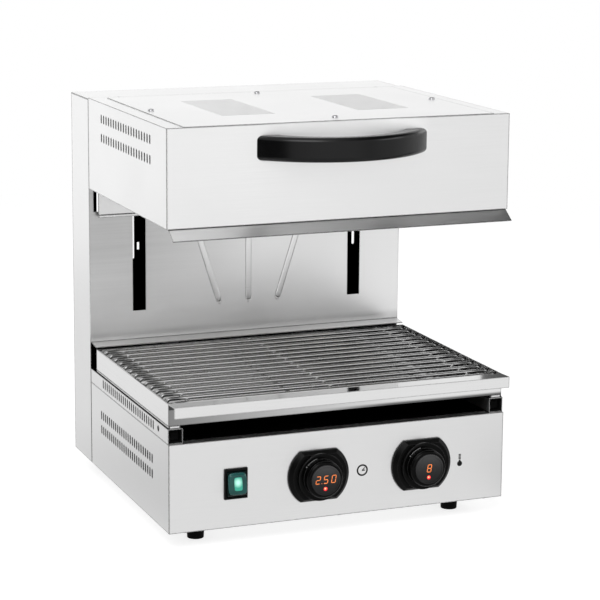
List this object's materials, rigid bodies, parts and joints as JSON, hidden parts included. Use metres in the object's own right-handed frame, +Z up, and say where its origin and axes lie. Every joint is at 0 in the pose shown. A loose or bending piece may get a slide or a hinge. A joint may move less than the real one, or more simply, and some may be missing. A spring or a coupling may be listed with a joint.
{
  "type": "salamander grill",
  "caption": "Countertop salamander grill: lifting heater hood on a rear column, wire grate over a drip tray, and a control base with a rocker switch and digital knobs.",
  "frame": {"origin": "middle of the overall footprint, on the surface that the feet stand on", "axes": "+Z up, -Y towards the user and the controls, X across the machine"},
  "size_m": [0.475, 0.5, 0.551],
  "materials": {
    "stainless": "satin stainless sheet with a fine grain",
    "sheet_steel": "plain stainless sheet",
    "black_steel": "matt black coated steel",
    "tray_steel": "bright rolled stainless sheet",
    "grate_wire": "polished stainless wire",
    "zinc_steel": "zinc plated steel",
    "spring_tube": "black painted tube",
    "spring_rod": "hard chromed rod",
    "roller_plastic": "natural bearing plastic",
    "reflector_steel": "bright reflector sheet",
    "element_tube": "dark oxidised heater sheath",
    "ceramic": "white steatite",
    "insulation": "mineral fibre blanket",
    "fastener": "stainless screws",
    "rubber": "black rubber",
    "handle_plastic": "black satin gloss moulding",
    "knob_plastic": "black glossy moulding",
    "bezel_plastic": "black satin moulding",
    "display_plastic": "dark display window",
    "rocker_green": "translucent green moulding",
    "circuit_board": "green circuit board",
    "heat_sink": "extruded aluminium",
    "lead_jacket": "insulated lead",
    "gland_plastic": "black nylon gland"
  },
  "bodies": {
    "housing": {"rubber_feet": "rubber", "base_fasteners": "fastener", "base_floor": "sheet_steel", "base_side_left": "stainless", "base_side_right": "stainless", "front_panel": "stainless", "base_deck": "black_steel", "side_channel_left": "stainless", "side_channel_right": "stainless", "column_side_left": "stainless", "column_side_right": "stainless", "column_back_panel": "stainless", "column_rear_cover": "stainless", "column_top_cap": "stainless", "rail_crossbar_upper": "black_steel", "rail_crossbar_lower": "black_steel", "guide_rail_left": "zinc_steel", "guide_rail_right": "zinc_steel", "lift_stops": "rubber", "gas_spring_cylinders": "spring_tube", "switch_bezel": "bezel_plastic", "switch_housing": "bezel_plastic", "timer_bezel": "bezel_plastic", "timer_display": "display_plastic", "level_bezel": "bezel_plastic", "level_display": "display_plastic", "encoder_modules": "circuit_board", "power_board": "circuit_board", "power_relay": "bezel_plastic", "relay_heat_sink": "heat_sink", "terminal_block": "ceramic", "supply_leads": "lead_jacket", "safety_limiter": "bezel_plastic", "cable_gland": "gland_plastic"},
    "hood": {"hood_front_panel": "stainless", "hood_side_left": "stainless", "hood_side_right": "stainless", "hood_top_cover": "stainless", "hood_screws": "fastener", "hood_rear_plate": "stainless", "hood_handle": "handle_plastic", "front_deflector": "stainless", "heat_reflector": "reflector_steel", "terminal_bushes": "ceramic", "insulation_blanket": "insulation", "heating_element_front": "element_tube", "heating_element_rear": "element_tube", "element_supports": "sheet_steel", "lift_carriage": "black_steel", "roller_axles": "spring_rod", "gas_spring_rods": "spring_rod"},
    "tray": {"tray_pan": "tray_steel"},
    "grate": {"wire_grate": "grate_wire"},
    "rocker": {"switch_rocker": "rocker_green"},
    "timer_knob": {"timer_ring": "knob_plastic"},
    "level_knob": {"level_ring": "knob_plastic"},
    "upper_left_roller": {"roller_upper_left": "roller_plastic"},
    "upper_right_roller": {"roller_upper_right": "roller_plastic"},
    "lower_left_roller": {"roller_lower_left": "roller_plastic"},
    "lower_right_roller": {"roller_lower_right": "roller_plastic"}
  },
  "joints": [
    {"name": "hood_lift", "type": "slide", "parent": "housing", "child": "hood", "axis": [0, 0, 1], "range_m": [-0.135, 0]},
    {"name": "tray_slide", "type": "slide", "parent": "housing", "child": "tray", "axis": [0, -1, 0], "range_m": [0, 0.22]},
    {"name": "grate_lift", "type": "slide", "parent": "tray", "child": "grate", "axis": [0, 0, 1], "range_m": [0, 0.045]},
    {"name": "switch_rock", "type": "hinge", "parent": "housing", "child": "rocker", "pos_m": [-0.147, -0.1955, 0.0836], "axis": [1, 0, 0], "range_deg": [0, 20]},
    {"name": "timer_turn", "type": "hinge", "parent": "housing", "child": "timer_knob", "pos_m": [-0.032, -0.21, 0.083], "axis": [0, 1, 0], "continuous": true},
    {"name": "level_turn", "type": "hinge", "parent": "housing", "child": "level_knob", "pos_m": [0.116, -0.21, 0.083], "axis": [0, 1, 0], "continuous": true},
    {"name": "upper_left_roll", "type": "hinge", "parent": "hood", "child": "upper_left_roller", "pos_m": [-0.106, 0.193, 0.505], "axis": [1, 0, 0], "range_deg": [-715, 5]},
    {"name": "upper_right_roll", "type": "hinge", "parent": "hood", "child": "upper_right_roller", "pos_m": [0.106, 0.193, 0.505], "axis": [1, 0, 0], "range_deg": [-715, 5]},
    {"name": "lower_left_roll", "type": "hinge", "parent": "hood", "child": "lower_left_roller", "pos_m": [-0.106, 0.193, 0.425], "axis": [1, 0, 0], "range_deg": [-5, 715]},
    {"name": "lower_right_roll", "type": "hinge", "parent": "hood", "child": "lower_right_roller", "pos_m": [0.106, 0.193, 0.425], "axis": [1, 0, 0], "range_deg": [-5, 715]}
  ],
  "couplings": [
    {"joint": "upper_left_roll", "follows": "hood_lift", "rad_per_m": 91.743},
    {"joint": "upper_right_roll", "follows": "hood_lift", "rad_per_m": 91.743},
    {"joint": "lower_left_roll", "follows": "hood_lift", "rad_per_m": -91.743},
    {"joint": "lower_right_roll", "follows": "hood_lift", "rad_per_m": -91.743}
  ]
}
